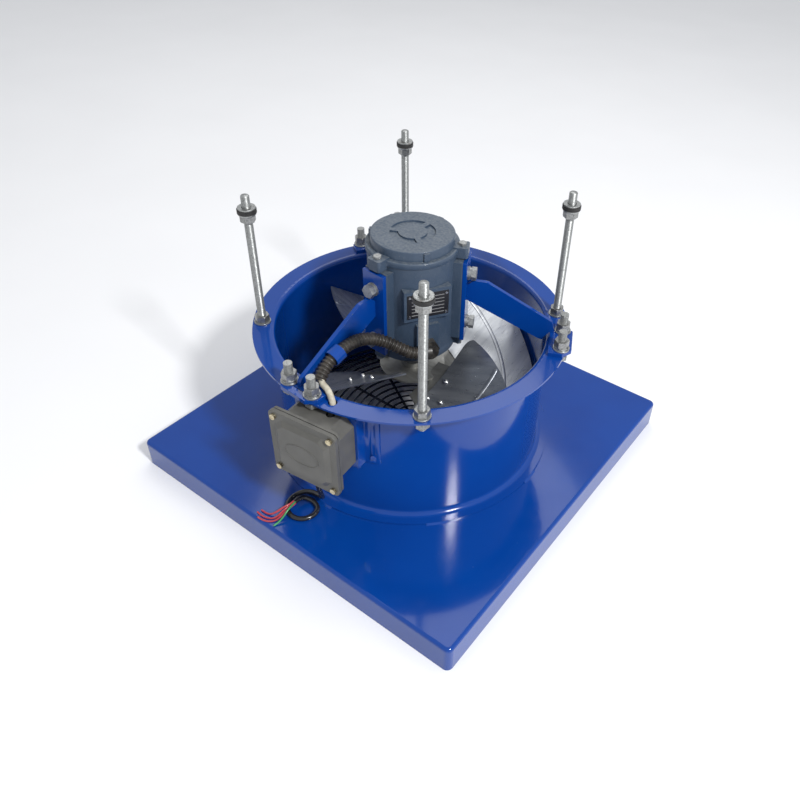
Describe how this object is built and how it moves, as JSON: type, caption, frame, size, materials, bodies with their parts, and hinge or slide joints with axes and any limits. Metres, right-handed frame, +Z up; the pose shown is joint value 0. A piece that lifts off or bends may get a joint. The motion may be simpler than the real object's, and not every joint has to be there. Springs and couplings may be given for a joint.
{
  "type": "exhaust hood fan",
  "caption": "Blue roof exhaust fan: square base, round duct, vertical motor on three arms with a bladed impeller below, hood studs and a junction box.",
  "frame": {"origin": "centre of the base panel's underside", "axes": "+Z up along the motor shaft; the base panel's sides run along X and Y; the junction box is on the -Y side"},
  "size_m": [0.6, 0.6, 0.452],
  "materials": {
    "enamel_blue": "gloss",
    "guard_wire": "satin",
    "zinc_steel": "satin",
    "black_rubber": "matte",
    "motor_paint": "satin",
    "nameplate_black": "satin",
    "rivet_aluminium": "satin",
    "black_plastic": "matte",
    "core_steel": "matte",
    "copper_winding": "satin",
    "bearing_steel": "polished",
    "cream_sleeve": "matte",
    "box_casting": "matte",
    "screw_brass": "satin",
    "cable_black": "gloss",
    "wire_red": "gloss",
    "wire_green": "gloss",
    "blade_steel": "brushed"
  },
  "bodies": {
    "fan": {"base_panel": "enamel_blue", "base_welds": "enamel_blue", "bearing_outer_rings": "bearing_steel", "box_bracket": "enamel_blue", "bracket_rivets": "enamel_blue", "cable_gland": "black_plastic", "conduit_clip": "enamel_blue", "cover_bolts": "zinc_steel", "duct_shell": "enamel_blue", "flexible_conduit": "black_plastic", "foot_bolts": "zinc_steel", "foot_plate_left": "enamel_blue", "foot_plate_rear": "enamel_blue", "foot_plate_right": "enamel_blue", "foot_spring_washers": "zinc_steel", "green_wire": "wire_green", "guard_rings": "guard_wire", "guard_spokes": "guard_wire", "hood_studs": "zinc_steel", "junction_box_body": "box_casting", "junction_box_gasket": "black_rubber", "junction_box_lid": "box_casting", "junction_box_screws": "screw_brass", "lead_sleeve": "cream_sleeve", "m12_nuts": "zinc_steel", "m12_washers": "zinc_steel", "motor_bottom_shield": "motor_paint", "motor_cable_gland": "black_plastic", "motor_housing": "motor_paint", "motor_plate_left": "enamel_blue", "motor_plate_rear": "enamel_blue", "motor_plate_right": "enamel_blue", "motor_top_cover": "motor_paint", "nameplate": "nameplate_black", "nameplate_rivets": "rivet_aluminium", "plate_bolts": "zinc_steel", "plate_washers": "zinc_steel", "red_wire_1": "wire_red", "red_wire_2": "wire_red", "red_wire_3": "wire_red", "rubber_washers": "black_rubber", "stator_core": "core_steel", "stator_winding": "copper_winding", "supply_cable": "cable_black", "support_arm_left": "enamel_blue", "support_arm_rear": "enamel_blue", "support_arm_right": "enamel_blue", "terminal_block": "black_plastic"},
    "rotor": {"motor_shaft": "bearing_steel", "rotor_core": "core_steel", "bearing_inner_rings": "bearing_steel", "fan_hub": "blade_steel", "fan_blade_1": "blade_steel", "fan_blade_2": "blade_steel", "fan_blade_3": "blade_steel", "fan_blade_4": "blade_steel", "blade_rivets": "rivet_aluminium", "hub_bolt": "zinc_steel"},
    "bearing_cage": {"bearing_balls": "bearing_steel", "bearing_cages": "bearing_steel"}
  },
  "joints": [
    {"name": "impeller_spin", "type": "hinge", "parent": "fan", "child": "rotor", "pos_m": [0, 0, 0.225], "axis": [0, 0, 1], "continuous": true},
    {"name": "cage_spin", "type": "hinge", "parent": "fan", "child": "bearing_cage", "pos_m": [0, 0, 0.225], "axis": [0, 0, 1], "continuous": true}
  ],
  "couplings": [
    {"joint": "cage_spin", "follows": "impeller_spin", "ratio": 0.3816}
  ]
}
